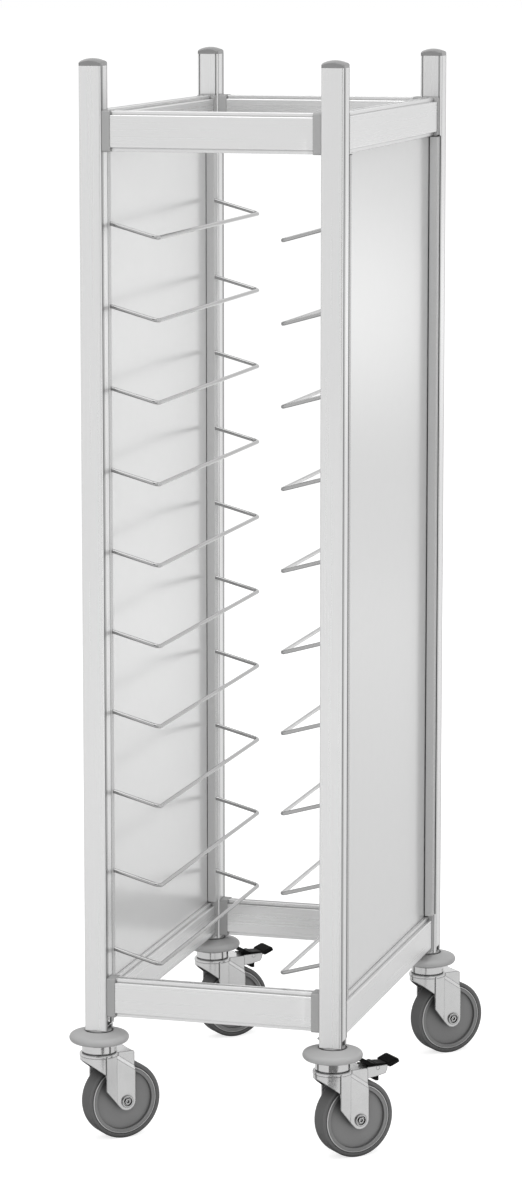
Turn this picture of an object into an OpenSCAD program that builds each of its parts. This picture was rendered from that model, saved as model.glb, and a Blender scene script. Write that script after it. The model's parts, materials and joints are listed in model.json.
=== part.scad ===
// Tray return trolley
// Four extruded posts joined by eight rails, with side panels, sloping wire tray supports
// and four swivel casters, two of them with a brake.
// Z is up, the front faces -Y, and the origin lies on the floor midway between the posts.

/* [Frame] */
// Width over the posts
frame_w = 420; // [400:1:520]
// Depth over the posts
frame_d = 670; // [640:1:760]
// Height of the upper ends of the posts above the floor
post_top_z = 1700; // [1200:1:1900]
// Distance from the upper ends of the posts down to the middle of the top rails
top_rail_drop = 99; // [60:1:120]
// Height of the middle of the front bottom rail above the lower ends of the posts
front_rail_rise = 54; // [50:1:70]
// Height of the middle of the side and rear bottom rails above the lower ends of the posts
low_rail_rise = 36; // [34:1:60]

/* [Posts] */
// Width of the square post
post_w = 36; // [35:0.5:44]
// Wall of the post
post_wall = 3; // [2.4:0.1:4]
// Radius of the corners of the post
post_corner_r = 3; // [1:0.5:4]
// Width of the grooves along the inner faces of the post
groove_w = 2; // [1:0.1:2.4]
// Depth of the grooves along the inner faces of the post
groove_depth = 1.8; // [0.6:0.1:2]
// Distance from the edge of a face to the middle of its groove
groove_inset = 4; // [3.6:0.1:5]
// Height of the open notch in the inner side of the front posts' feet
notch_h = 21; // [18:1:22]
// Height of the open notch in the outer side of every post's foot
outer_notch_h = 9; // [4:1:14]
// Width of the notches
notch_w = 20; // [16:1:24]

/* [Post caps] */
// Height of the crown of the cap above the post
cap_h = 11.6; // [9:0.1:16]
// Radius of the dome of the cap
cap_dome_r = 44; // [40:1:60]
// Depth of the spigot of the cap inside the post
cap_spigot_h = 14; // [8:1:24]
// Wall of the spigot of the cap
cap_spigot_wall = 2.4; // [1.6:0.1:4]

/* [Rails] */
// Height of the rail over its two ridges
rail_h = 62; // [58:1:64]
// Height of the proud faces of the rail
rail_face_h = 50; // [46:1:52]
// Thickness of the rail over its faces
rail_t = 28; // [26:0.5:30]
// Width of the ridges along the upper and lower edge of the rail
rail_ridge_w = 16; // [12:0.5:20]
// Wall of the rail
rail_wall = 2; // [1.6:0.1:3]
// Radius along the edges of the rail's faces
rail_edge_r = 2; // [0.8:0.1:3]
// Radius along the edges of the rail's ridges
ridge_edge_r = 1; // [0.4:0.1:2]
// Width of the panel slot in the ridges
slot_w = 4.4; // [4.2:0.1:6]

/* [Rail connectors] */
// Visible length of the connector between post and rail
collar_l = 13; // [10:0.5:15]
// Amount by which the connector stands proud of the faces of the rail
collar_proud = 1; // [0.4:0.1:1.5]
// Amount by which the connector stands proud of the ridges of the rail
collar_proud_z = 0.6; // [0.2:0.1:1.5]
// Radius of the corners of the connector
collar_r = 3; // [1:0.5:5]
// Length of the connector's plug inside the rail
plug_l = 32; // [20:1:50]
// Wall of the connector's plug
plug_wall = 3; // [2:0.1:5]

/* [Panels and support strips] */
// Thickness of the side panels
panel_t = 4; // [3:0.1:4]
// Width of the support strip
strip_w = 33; // [28:0.5:34]
// Amount by which the support strip stands out from the post
strip_d = 18; // [16:0.5:24]
// Depth of the panel slot in the support strip
strip_slot_d = 8; // [6:0.5:10]
// Gap between the support strip and the connectors above and below it
strip_gap = 0.9; // [0.4:0.1:2]
// Radius along the two outer edges of the support strip
strip_edge_r = 1.5; // [0.5:0.1:3]

/* [Tray supports] */
// Distance from one tray level to the next
level_pitch = 128; // [90:1:200]
// Distance from the upper ends of the posts down to the first tray support
first_level_drop = 243; // [200:1:260]
// Least distance from the lower end of the strip up to the last tray support
last_level_rise = 30; // [25:1:80]
// Diameter of the support wire
wire_d = 6.5; // [4:0.1:7]
// Distance that the support reaches inwards from its strip
support_reach = 76; // [60:1:110]
// Fall of the support from its strip to its inner run
support_drop = 21; // [10:1:30]
// Radius of the corners of the support, along the middle of the wire
wire_bend_r = 9; // [6:0.5:20]
// Depth of the wire's end inside the strip
wire_seat_l = 7; // [4:0.5:10]
// Distance from the front of the strip to the middle of the wire
wire_inset = 4.4; // [4:0.1:6]

/* [Caster wheels] */
// Diameter of the wheel over its tyre
wheel_d = 125; // [110:1:140]
// Width of the tyre
wheel_w = 31; // [28:0.5:33]
// Height of the tyre outside the flanges of the wheel
tyre_t = 7.4; // [5:0.1:12]
// Radius of the edges of the tyre
tyre_edge_r = 3; // [1:0.1:3.4]
// Height of the flanges of the wheel above the seat of the tyre
flange_h = 3; // [2:0.1:5]
// Thickness of the flanges of the wheel
flange_t = 1.6; // [1:0.1:3]
// Width of the wheel over its flanges
rim_w = 28; // [24:0.5:28]
// Wall of the rim
rim_wall = 4; // [3:0.1:6]
// Radius of the bead round the outside of the flanges
rim_bead_r = 1.3; // [0.8:0.1:1.6]
// Thickness of the wheel disc
disc_t = 18; // [10:0.5:22]
// Diameter of the hub
hub_d = 26; // [22:1:36]
// Diameter of the axle
axle_d = 12; // [8:0.5:14]
// Diameter of the head of the axle
axle_head_d = 19; // [16:0.5:22]
// Thickness of the head of the axle
axle_head_t = 3; // [2:0.5:5]
// Width of the raised ring round the head of the axle
axle_ring_w = 2.2; // [1:0.1:3]
// Depth of the dish inside the ring
axle_dish_t = 2; // [1:0.1:4]
// Width of the hexagon in the dish
axle_hex_w = 9; // [6:0.5:11]
// Diameter of the socket in the hexagon
axle_socket_d = 5; // [3:0.5:6]
// Width of the nut on the axle
axle_nut_w = 18; // [15:0.5:22]
// Thickness of the nut on the axle
axle_nut_t = 5; // [3:0.5:8]

/* [Caster forks] */
// Distance from the swivel axis to the axle
trail = 37.5; // [32:0.5:42]
// Direction in which the casters trail, from +X towards +Y
trail_angle = 43.5; // [0:0.5:360]
// Clear width between the legs of the fork
leg_gap = 41; // [38:0.5:46]
// Thickness of the sheet of the fork
leg_t = 3; // [2:0.1:4]
// Radius of the end of the leg around the axle
leg_end_r = 15; // [13:0.5:17]
// Distance by which the front edge of the leg lies ahead of the swivel axis
leg_front = 2.5; // [0:0.5:6]
// Distance from the swivel axis back to the fold where the leg starts to flare
flare_x = 20; // [15:0.5:22]
// Amount by which the front edge of the leg flares out
flare_out = 9; // [5:0.5:10]
// Height of the throat of the leg above the axle
leg_throat_rise = 22.5; // [20:0.5:28]
// Height of the straight front edge of the leg
leg_front_h = 26; // [15:0.5:30]
// Gap between the tyre and the crown of the fork
crown_gap = 7; // [6:0.5:14]
// Height of the crown of the fork
crown_h = 12; // [10:0.5:18]
// Diameter of the crown of the fork
crown_d = 63; // [60:0.5:70]
// Radius of the upper edge of the crown
crown_edge_r = 2.5; // [1:0.1:4]
// Height of the rim of the crown at its front
crown_rim_h = 10.5; // [8:0.5:14]
// Amount by which the rim of the crown stands out from the wall below it
crown_rim_out = 0.8; // [0.4:0.1:1.5]
// Thickness of the rim of the crown
crown_rim_t = 5; // [4:0.5:8]
// Diameter of the boss under the crown
boss_d = 30; // [26:0.5:36]
// Amount by which the upper part of the leg is set inwards
joggle_in = 3.6; // [2:0.1:4]
// Width of the slope between the upper and the lower part of the leg
joggle_w = 5.6; // [3:0.1:8]
// Height of the slope's lower edge below the top of the fork, at the fold
joggle_front_drop = 9.5; // [8:0.5:12]
// Height of the slope's lower edge below the top of the fork, at the rear
joggle_rear_drop = 32; // [26:0.5:36]
// Radius of the upper rear corners of the fork
fork_corner_r = 3.5; // [1:0.5:6]

/* [Swivels and bumpers] */
// Diameter of the swivel head
head_d = 55; // [48:0.5:60]
// Step cut back round the swivel head's lower edge
head_relief = 1.5; // [0.5:0.1:3]
// Height of the swivel head
head_h = 15.5; // [12:0.5:22]
// Diameter of the step on top of the swivel head
head_step_d = 50; // [40:0.5:54]
// Height of the step on top of the swivel head
head_step_h = 3; // [1:0.5:5]
// Diameter of the king pin
kingpin_d = 12; // [8:0.5:16]
// Diameter of the head of the king pin
kingpin_head_d = 22; // [16:0.5:26]
// Thickness of the head of the king pin
kingpin_head_t = 4; // [2.5:0.5:5]
// Length of the king pin inside the post
kingpin_grip = 27; // [15:1:30]
// Diameter of the bumper disc
bumper_d = 95; // [80:1:120]
// Height of the bumper disc at its middle
bumper_h = 19.7; // [17:0.1:26]
// Radius of the rim of the bumper disc
bumper_rim_r = 7; // [5:0.1:8]
// Height of the middle of the bumper's rim above the swivel head
bumper_rim_z = 8.2; // [8:0.1:10]
// Diameter of the washer on the bumper
washer_d = 43; // [40:0.5:50]
// Gap between the washer and the bumper round it
washer_gap = 1.5; // [0.5:0.1:3]
// Thickness of the washer on the bumper
washer_t = 1.6; // [1:0.1:3]
// Width of the bumper's flat top outside the gap
bumper_lip = 2; // [1:0.1:5]
// Diameter of the flange of the caster socket
flange_d = 40; // [36:0.5:44]
// Thickness of the flange of the caster socket
socket_flange_t = 2.5; // [1.5:0.1:4]
// Height of the caster socket inside the post
socket_h = 32; // [24:1:50]

/* [Socket clips] */
// Thickness of the clip
clip_t = 1.5; // [1:0.1:2]
// Width of the clip
clip_w = 15; // [10:0.5:15]
// Height of the clip
clip_h = 15; // [10:0.5:15]
// Height of the clip above the foot of the post
clip_rise = 5; // [1:0.5:6]
// Length of the tab of the clip
clip_tab_l = 9; // [3:0.5:10]
// Slope of the tab of the clip
clip_tab_angle = 35; // [0:1:50]
// Diameter of the hole in the clip
clip_hole_d = 4; // [2:0.5:6]

/* [Brakes] */
// Distance from the axle to the pivot of the brake pedal, along the trail
brake_reach = 34.5; // [30:0.5:40]
// Distance from the top of the crown down to the pivot
brake_pivot_drop = 3; // [2:0.5:5]
// Diameter of the pivot pin
brake_pin_d = 5; // [4:0.5:6]
// Thickness of the sheet of the brake bracket
bracket_t = 2; // [1.5:0.1:2.2]
// Length of the bracket behind the pivot
bracket_tail = 17; // [12:0.5:17]
// Length of the bracket inside the fork
bracket_lap = 11; // [6:0.5:14]
// Height of the bracket at the fork
bracket_h = 18; // [14:0.5:18]
// Height of the bracket at its end
bracket_tip_h = 7; // [5:0.5:9]
// Gap between the tyre and the floor of the bracket
bracket_floor_gap = 2; // [1:0.1:3]
// Diameter of the hub of the pedal
pedal_hub_d = 13; // [10:0.5:14]
// Width of the arms of the pedal
pedal_w = 24; // [16:0.5:26]
// Length of the release arm of the pedal
toe_l = 20; // [18:0.5:22]
// Height of the release arm above the pivot
toe_h = 13; // [11:0.5:14]
// Thickness of the arms of the pedal
pedal_t = 6; // [4:0.5:7]
// Distance from the pivot to the foot pad
heel_l = 20; // [19.5:0.5:24]
// Width of the foot pad
pad_w = 42; // [30:1:50]
// Length of the foot pad
pad_l = 19; // [14:0.5:26]
// Thickness of the foot pad
pad_t = 4.5; // [3:0.5:6]
// Slope of the foot pad
pad_tilt = 22; // [10:1:30]
// Radius of the corners of the foot pad
pad_corner_r = 3.5; // [1:0.5:5]
// Number of ribs on the foot pad
pad_ribs = 5; // [3:1:7]
// Height of the ribs on the foot pad
pad_rib_h = 1.2; // [0.4:0.1:1.5]
// Width of the ribs on the foot pad
pad_rib_w = 1.6; // [0.8:0.1:2]
// Distance from the pivot down to the end of the brake shoe
shoe_drop = 22.5; // [18:0.5:23]
// Distance from the pivot to the near side of the brake shoe
shoe_x = 0; // [0:0.5:2]
// Length of the brake shoe along the trail
shoe_l = 5; // [3:0.5:7]
// Width of the brake shoe
shoe_w = 20; // [12:1:24]

/* [Fits] */
// Clearance all round a part that is pushed into another
push_fit = 0.1; // [0.05:0.05:0.2]
// Radial clearance of a running fit
run_fit = 0.05; // [0.02:0.01:0.1]
// Gap between two faces that turn against each other
face_gap = 0.3; // [0.2:0.05:0.5]
// Gap between the panels and the ends of their slots
panel_gap = 0.5; // [0.3:0.1:1]

/* [Hidden] */
$fn = 64;
// Overrun of every cut
over = 1;

// Corner signs: left and right in X, front and rear in Y
FL = [-1, -1];
FR = [1, -1];
RL = [-1, 1];
RR = [1, 1];
CORNERS = [FL, FR, RL, RR];

// Heights of the caster, counted up from the floor
wheel_r = wheel_d / 2;
crown_base_z = wheel_d + crown_gap;
crown_top_z = crown_base_z + crown_h;
crown_rim_z = crown_top_z - crown_rim_h;
head_base_z = crown_top_z + face_gap;
bumper_base_z = head_base_z + head_h;
bumper_top_z = bumper_base_z + bumper_h;
post_bottom_z = bumper_top_z + socket_flange_t;
post_h = post_top_z - post_bottom_z;

// Middles of the posts
post_x = (frame_w - post_w) / 2;
post_y = (frame_d - post_w) / 2;
post_bore_w = post_w - 2 * post_wall;

// Rails
top_rail_z = post_top_z - top_rail_drop;
front_rail_z = post_bottom_z + front_rail_rise;
low_rail_z = post_bottom_z + low_rail_rise;
cross_rail_l = frame_w - 2 * post_w - 2 * collar_l;
side_rail_l = frame_d - 2 * post_w - 2 * collar_l;
rail_bore_t = rail_t - 2 * rail_wall;
rail_bore_h = rail_face_h - 2 * rail_wall;
collar_h = rail_h + 2 * collar_proud_z;
collar_t = rail_t + 2 * collar_proud;
groove_y = post_w / 2 - groove_inset;
tongue_w = groove_w - 2 * push_fit;
tongue_d = groove_depth - push_fit;

// Support strips and panels
strip_low_z = low_rail_z + collar_h / 2 + strip_gap;
strip_high_z = top_rail_z - collar_h / 2 - strip_gap;
strip_h = strip_high_z - strip_low_z;
panel_low_z = low_rail_z + rail_face_h / 2 + panel_gap;
panel_high_z = top_rail_z - rail_face_h / 2 - panel_gap;
panel_l = side_rail_l - 2 * panel_gap;

// Tray supports
wire_r = wire_d / 2;
first_level_z = post_top_z - first_level_drop;
levels = 1 + floor((first_level_z - strip_low_z - last_level_rise) / level_pitch);
support_x = post_x - strip_w / 2;
support_y = frame_d / 2 - post_w - strip_d + wire_inset;
support_slope = atan(support_drop / support_reach);
support_arm_l = norm([support_reach, support_drop]);

// Wheels and forks
axle_r = axle_d / 2;
tyre_in_r = wheel_r - tyre_t;
flange_r = tyre_in_r - push_fit;
seat_r = flange_r - flange_h;
hub_w = leg_gap - 2 * face_gap;
fork_out_y = leg_gap / 2 + leg_t;
leg_front_x = -leg_front;
upper_out_y = fork_out_y - joggle_in;
crown_wall_r = crown_d / 2 - crown_rim_out;
leg_rear_x = trail + leg_end_r;
leg_throat_z = wheel_r + leg_throat_rise;
leg_knee_z = leg_throat_z + leg_front_h;
web_low_z = crown_top_z - leg_t;
// The slope between the parts of the leg: its lower edge from the fold to the rear
joggle_front = [flare_x, crown_top_z - joggle_front_drop];
joggle_rear = [leg_rear_x, crown_top_z - joggle_rear_drop];
joggle_angle = atan2(joggle_rear[1] - joggle_front[1], joggle_rear[0] - joggle_front[0]);
kingpin_r = kingpin_d / 2;
kingpin_low_z = crown_base_z - face_gap - kingpin_head_t;

// Brakes
pivot_x = trail + brake_reach;
pivot_z = crown_top_z - brake_pivot_drop;
bracket_y = upper_out_y - leg_t - bracket_t;
bracket_end_x = pivot_x + bracket_tail;
bracket_lap_x = leg_rear_x - bracket_lap;
bracket_floor_z = wheel_d + bracket_floor_gap;
pedal_hub_r = pedal_hub_d / 2;
pedal_hub_w = 2 * (bracket_y - face_gap);
// Heights along the lower edge of the bracket, as shares of its height at the fork
bracket_mid_share = 0.92;
bracket_heel_share = 0.74;
// Places along the bracket's tail where its lower edge turns, as shares of the tail
bracket_mid_tail_share = 0.2;
bracket_heel_tail_share = 0.2;
// Points of the pedal's arms, as shares of the hub's radius
pedal_waist_share = 0.6;
pedal_heel_share = 0.65;
// Width of the foot pad that its ribs take up
pad_rib_share = 0.86;

// Colours
aluminium = "#d8dad9";
grey_plastic = "#a3a4a2";
sheet_grey = "#dcdedd";
steel = "#c4c6c6";
zinc = "#d2d3d2";
black_plastic = "#222224";
bumper_grey = "#a9a9a7";
wheel_grey = "#7c7e7e";
tyre_grey = "#585a5a";

// Share of a round end's radius at which a straight edge runs into it
graze_share = 0.998;

// Point where a line from k grazes the circle of radius r round c, just inside its edge,
// on the left as seen from k where side is 1 and on the right where side is -1
function graze_point(k, c, r, side) =
    let (d = norm(c - k), reach = graze_share * r, turn = side * asin(reach / d))
    let (along = atan2(c[1] - k[1], c[0] - k[0]) + turn)
    k + sqrt(d * d - reach * reach) * [cos(along), sin(along)];

// Rectangle with round corners, about its middle
module round_rect(w, h, r) {
    square([w - 2 * r, h], center = true);
    square([w, h - 2 * r], center = true);
    for (x = [-1, 1], y = [-1, 1])
        translate([x * (w / 2 - r), y * (h / 2 - r)])
            circle(r);
}

// Places something at the middle of the post at a corner, on the floor
module at_post(c) {
    translate([c[0] * post_x, c[1] * post_y, 0])
        children();
}

// Places a caster's part, with x along the trail and the swivel axis at the origin
module at_caster(c) {
    at_post(c)
        rotate([0, 0, trail_angle])
            children();
}

// Section of the post: plain on the -y face, two grooves along each of the other faces
module post_section() {
    difference() {
        round_rect(post_w, post_w, post_corner_r);
        square(post_bore_w, center = true);
        for (turn = [0, 90, 180])
            rotate(turn)
                for (side = [-1, 1])
                    translate([post_w / 2 - groove_depth, side * groove_y - groove_w / 2])
                        square([groove_depth + over, groove_w]);
    }
}

// Notch through one wall of the post, on the side towards +x or -x
module post_notch(side, height) {
    translate([side * post_w / 2, 0, post_bottom_z - over])
        linear_extrude(height + over)
            square([2 * (post_wall + push_fit), notch_w], center = true);
}

// Post, with its plain face outwards and open notches at its foot
module post(c) {
    color(aluminium)
        at_post(c)
            difference() {
                translate([0, 0, post_bottom_z])
                    rotate([0, 0, c[1] < 0 ? 0 : 180])
                        linear_extrude(post_h)
                            post_section();
                post_notch(c[0], outer_notch_h);
                if (c[1] < 0)
                    post_notch(-c[0], notch_h);
            }
}

// Domed cap with a hollow spigot that fills the end of the post
module post_cap(c) {
    spigot_w = post_bore_w - 2 * push_fit;
    color(grey_plastic)
        at_post(c)
            translate([0, 0, post_top_z]) {
                intersection() {
                    linear_extrude(cap_h)
                        round_rect(post_w, post_w, post_corner_r);
                    translate([0, 0, cap_h - cap_dome_r])
                        sphere(cap_dome_r);
                }
                translate([0, 0, -cap_spigot_h])
                    linear_extrude(cap_spigot_h)
                        difference() {
                            square(spigot_w, center = true);
                            square(spigot_w - 2 * cap_spigot_wall, center = true);
                        }
            }
}

// Section of the rail: proud faces, ridges with a panel slot above and below, and a hollow core
module rail_section() {
    difference() {
        union() {
            round_rect(rail_t, rail_face_h, rail_edge_r);
            round_rect(rail_ridge_w, rail_h, ridge_edge_r);
        }
        square([rail_bore_t, rail_bore_h], center = true);
        for (side = [-1, 1])
            translate([0, side * (rail_face_h + rail_h) / 4])
                square([slot_w, (rail_h - rail_face_h) / 2], center = true);
        for (side = [-1, 1])
            translate([0, side * (rail_h + over) / 2])
                square([slot_w, over], center = true);
    }
}

// Rail along x, about its middle
module rail(length) {
    color(aluminium)
        rotate([90, 0, 90])
            linear_extrude(length, center = true)
                rail_section();
}

module cross_rail(side, z) {
    translate([0, side * post_y, z])
        rail(cross_rail_l);
}

module side_rail(side, z) {
    translate([side * post_x, 0, z])
        rotate([0, 0, 90])
            rail(side_rail_l);
}

// Rail connector: a collar against the post at x = 0, two tongues in the post's grooves,
// and a hollow plug that fills the end of the rail
module rail_connector() {
    plug_t = rail_bore_t - 2 * push_fit;
    plug_h = rail_bore_h - 2 * push_fit;
    color(grey_plastic) {
        rotate([90, 0, 90])
            linear_extrude(collar_l)
                round_rect(collar_t, collar_h, collar_r);
        translate([collar_l, 0, 0])
            rotate([90, 0, 90])
                linear_extrude(plug_l)
                    difference() {
                        square([plug_t, plug_h], center = true);
                        square([plug_t - 2 * plug_wall, plug_h - 2 * plug_wall], center = true);
                    }
        for (side = [-1, 1])
            translate([-tongue_d / 2, side * groove_y, 0])
                cube([tongue_d, tongue_w, collar_h - 2 * collar_r], center = true);
    }
}

// The four connectors of the front and rear rails, or of the side rails, at one height
module cross_connectors(side, z) {
    for (end = [-1, 1])
        translate([end * (post_x - post_w / 2), side * post_y, z])
            rotate([0, 0, end < 0 ? 0 : 180])
                rail_connector();
}

module side_connectors(side, z) {
    for (end = [-1, 1])
        translate([side * post_x, end * (post_y - post_w / 2), z])
            rotate([0, 0, end < 0 ? 90 : -90])
                rail_connector();
}

module top_rail_connectors() {
    for (side = [-1, 1]) {
        cross_connectors(side, top_rail_z);
        side_connectors(side, top_rail_z);
    }
}

module bottom_rail_connectors() {
    cross_connectors(-1, front_rail_z);
    cross_connectors(1, low_rail_z);
    for (side = [-1, 1])
        side_connectors(side, low_rail_z);
}

// Section of the support strip, standing out along +y from the post's face at y = 0
module strip_section() {
    difference() {
        union() {
            translate([0, strip_d / 2])
                round_rect(strip_w, strip_d, strip_edge_r);
            translate([0, strip_edge_r / 2])
                square([strip_w, strip_edge_r], center = true);
            for (side = [-1, 1])
                translate([side * groove_y, -tongue_d / 2])
                    square([tongue_w, tongue_d + push_fit], center = true);
        }
        translate([0, strip_d + (over - strip_slot_d) / 2])
            square([slot_w, strip_slot_d + over], center = true);
    }
}

// Support strip, with a blind hole for each support wire in its inner side
module support_strip(c) {
    color(grey_plastic)
        difference() {
            at_post(c)
                translate([0, -c[1] * post_w / 2, strip_low_z])
                    rotate([0, 0, c[1] < 0 ? 0 : 180])
                        linear_extrude(strip_h)
                            strip_section();
            for (level = [0 : levels - 1])
                mirror([c[0] < 0 ? 0 : 1, 0, 0])
                    translate([-support_x, c[1] * support_y, first_level_z - level * level_pitch])
                        rotate([0, 90 + support_slope, 0])
                            translate([0, 0, -wire_seat_l - push_fit])
                                cylinder(r = wire_r + push_fit, h = wire_seat_l + wire_d);
        }
}

// Side panel, held in the slots of the side rails and of the strips
module side_panel(side) {
    color(sheet_grey)
        translate([side * post_x, 0, (panel_low_z + panel_high_z) / 2])
            cube([panel_t, panel_l, panel_high_z - panel_low_z], center = true);
}

// One bent support wire in the plane z = 0, with its two ends at the strips' sides on x = 0
module support_wire() {
    run_l = 2 * (support_y - wire_bend_r);
    for (end = [-1, 1]) {
        translate([-wire_seat_l, end * support_y, 0])
            rotate([0, 90, 0])
                cylinder(r = wire_r, h = wire_seat_l + support_arm_l - wire_bend_r);
        translate([support_arm_l - wire_bend_r, end * run_l / 2, 0])
            rotate([0, 0, end < 0 ? -90 : 0])
                rotate_extrude(angle = 90)
                    translate([wire_bend_r, 0])
                        circle(wire_r);
    }
    translate([support_arm_l, run_l / 2, 0])
        rotate([90, 0, 0])
            cylinder(r = wire_r, h = run_l);
}

// All support wires on the left; the right side mirrors them
module tray_supports(side) {
    color(steel)
        for (level = [0 : levels - 1])
            mirror([side < 0 ? 0 : 1, 0, 0])
                translate([-support_x, 0, first_level_z - level * level_pitch])
                    rotate([0, support_slope, 0])
                        support_wire();
}

// Square sockets in the feet of the posts, each with a round flange below the post
module caster_sockets() {
    color(black_plastic)
        for (c = CORNERS)
            at_post(c)
                difference() {
                    union() {
                        translate([0, 0, bumper_top_z])
                            cylinder(d = flange_d, h = socket_flange_t);
                        translate([0, 0, post_bottom_z])
                            linear_extrude(socket_h)
                                square(post_bore_w - 2 * push_fit, center = true);
                    }
                    translate([0, 0, bumper_top_z - over])
                        cylinder(r = kingpin_r + run_fit, h = kingpin_grip + socket_flange_t + over);
                }
}

// King pins, each with a riveted head below the crown of its fork
module king_pins() {
    color(zinc)
        for (c = CORNERS)
            at_post(c) {
                translate([0, 0, kingpin_low_z])
                    cylinder(d = kingpin_head_d, h = kingpin_head_t);
                translate([0, 0, kingpin_low_z])
                    cylinder(r = kingpin_r, h = post_bottom_z + kingpin_grip - kingpin_low_z);
            }
}

// Washers in the recesses on top of the bumpers
module bumper_washers() {
    color(zinc)
        for (c = CORNERS)
            at_post(c)
                translate([0, 0, bumper_top_z - washer_t])
                    difference() {
                        cylinder(d = washer_d, h = washer_t);
                        translate([0, 0, -over])
                            cylinder(r = kingpin_r + run_fit, h = washer_t + 2 * over);
                    }
}

// Spring clips in the notches of the front posts, each with a bent tab
module socket_clips() {
    color(steel)
        for (c = [FL, FR])
            at_post(c)
                mirror([c[0] < 0 ? 0 : 1, 0, 0])
                    translate([post_bore_w / 2, 0, post_bottom_z + clip_rise])
                        difference() {
                            union() {
                                translate([0, -clip_w / 2, 0])
                                    cube([clip_t, clip_w, clip_h]);
                                translate([0, -clip_w / 2, 0])
                                    rotate([0, -clip_tab_angle, 0])
                                        cube([clip_tab_l + clip_t, clip_w, clip_t]);
                            }
                            translate([-over, 0, clip_h - clip_hole_d])
                                rotate([0, 90, 0])
                                    cylinder(d = clip_hole_d, h = clip_t + 2 * over);
                            translate([-clip_w, -clip_w, -clip_t])
                                cube([clip_w, 2 * clip_w, clip_h + 2 * clip_t]);
                        }
}

// Bumper disc: a round rim, a sloping top and a recess for the washer
module bumper(c) {
    rim = [bumper_d / 2 - bumper_rim_r, bumper_rim_z];
    recess_r = washer_d / 2 + washer_gap;
    foot = [head_step_d / 2, 0];
    lip = [recess_r + bumper_lip, bumper_h];
    color(bumper_grey)
        at_post(c)
            translate([0, 0, bumper_base_z])
                rotate_extrude() {
                    polygon([
                        [kingpin_r + run_fit, 0],
                        foot,
                        graze_point(foot, rim, bumper_rim_r, -1),
                        graze_point(lip, rim, bumper_rim_r, 1),
                        lip,
                        [recess_r, bumper_h],
                        [recess_r, bumper_h - washer_t],
                        [kingpin_r + run_fit, bumper_h - washer_t]
                    ]);
                    translate(rim)
                        circle(bumper_rim_r);
                }
}

// Swivel head: the fixed half of the swivel, between bumper and fork
module swivel_head(c) {
    color(zinc)
        at_post(c)
            translate([0, 0, head_base_z])
                rotate_extrude()
                    polygon([
                        [kingpin_r + run_fit, 0],
                        [head_d / 2 - head_relief, 0],
                        [head_d / 2 - head_relief, head_relief],
                        [head_d / 2, head_relief],
                        [head_d / 2, head_h - head_step_h],
                        [head_step_d / 2, head_h],
                        [kingpin_r + run_fit, head_h]
                    ]);
}

// Outline of the fork's leg, with x along the trail and y up
module leg_outline() {
    throat = [leg_front_x, leg_throat_z];
    eye = [trail, wheel_r];
    difference() {
        union() {
            translate(eye)
                circle(leg_end_r);
            translate([leg_rear_x - fork_corner_r, crown_top_z - fork_corner_r])
                circle(fork_corner_r);
            polygon([
                [leg_front_x, crown_top_z],
                throat,
                graze_point(throat, eye, leg_end_r, -1),
                eye,
                [leg_rear_x, wheel_r],
                [leg_rear_x, crown_top_z - fork_corner_r],
                [leg_rear_x - fork_corner_r, crown_top_z - fork_corner_r],
                [leg_rear_x - fork_corner_r, crown_top_z]
            ]);
        }
        translate(eye)
            circle(axle_r + push_fit);
    }
}

// Lays a section along the slope in the leg, behind the fold, with the slope's lower edge at x = 0
module along_joggle() {
    intersection() {
        translate([joggle_front[0], 0, joggle_front[1]])
            rotate([0, -joggle_angle, 0])
                rotate([90, 0, 90])
                    linear_extrude(2 * crown_top_z, center = true)
                        rotate(90)
                            mirror([0, 1, 0])
                                children();
        translate([flare_x, 0, 0])
            cube([leg_rear_x, crown_d, 2 * crown_top_z]);
    }
}

// Section of the sheet that slopes inwards from the middle of the leg's thickness
module joggle_fill() {
    polygon([
        [-joggle_w * leg_t / (2 * joggle_in), fork_out_y - leg_t / 2],
        [joggle_w, upper_out_y - leg_t],
        [crown_top_z, upper_out_y - leg_t],
        [crown_top_z, fork_out_y - leg_t / 2]
    ]);
}

// Section of what is cut away outside the slope and the upper part of the leg
module joggle_cut() {
    polygon([
        [-joggle_w * over / joggle_in, fork_out_y + over],
        [joggle_w, upper_out_y],
        [crown_top_z, upper_out_y],
        [crown_top_z, fork_out_y + over]
    ]);
}

// Front part of the leg on the +y side, flaring out from the fold to its front edge
module leg_front_sheet() {
    linear_extrude(crown_top_z - crown_rim_t / 2)
        polygon([
            [flare_x, fork_out_y],
            [leg_front_x, fork_out_y + flare_out],
            [leg_front_x, fork_out_y + flare_out - leg_t],
            [flare_x, fork_out_y - leg_t]
        ]);
}

// Rear part of the leg on the +y side, set inwards above the slope
module leg_rear_sheet() {
    difference() {
        union() {
            translate([flare_x, fork_out_y - leg_t, 0])
                cube([leg_rear_x, leg_t, crown_top_z]);
            along_joggle()
                joggle_fill();
        }
        along_joggle()
            joggle_cut();
    }
}

// One leg on the +y side
module fork_leg() {
    intersection() {
        rotate([90, 0, 0])
            linear_extrude(2 * crown_d, center = true)
                leg_outline();
        union() {
            leg_front_sheet();
            leg_rear_sheet();
        }
    }
}

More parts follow.
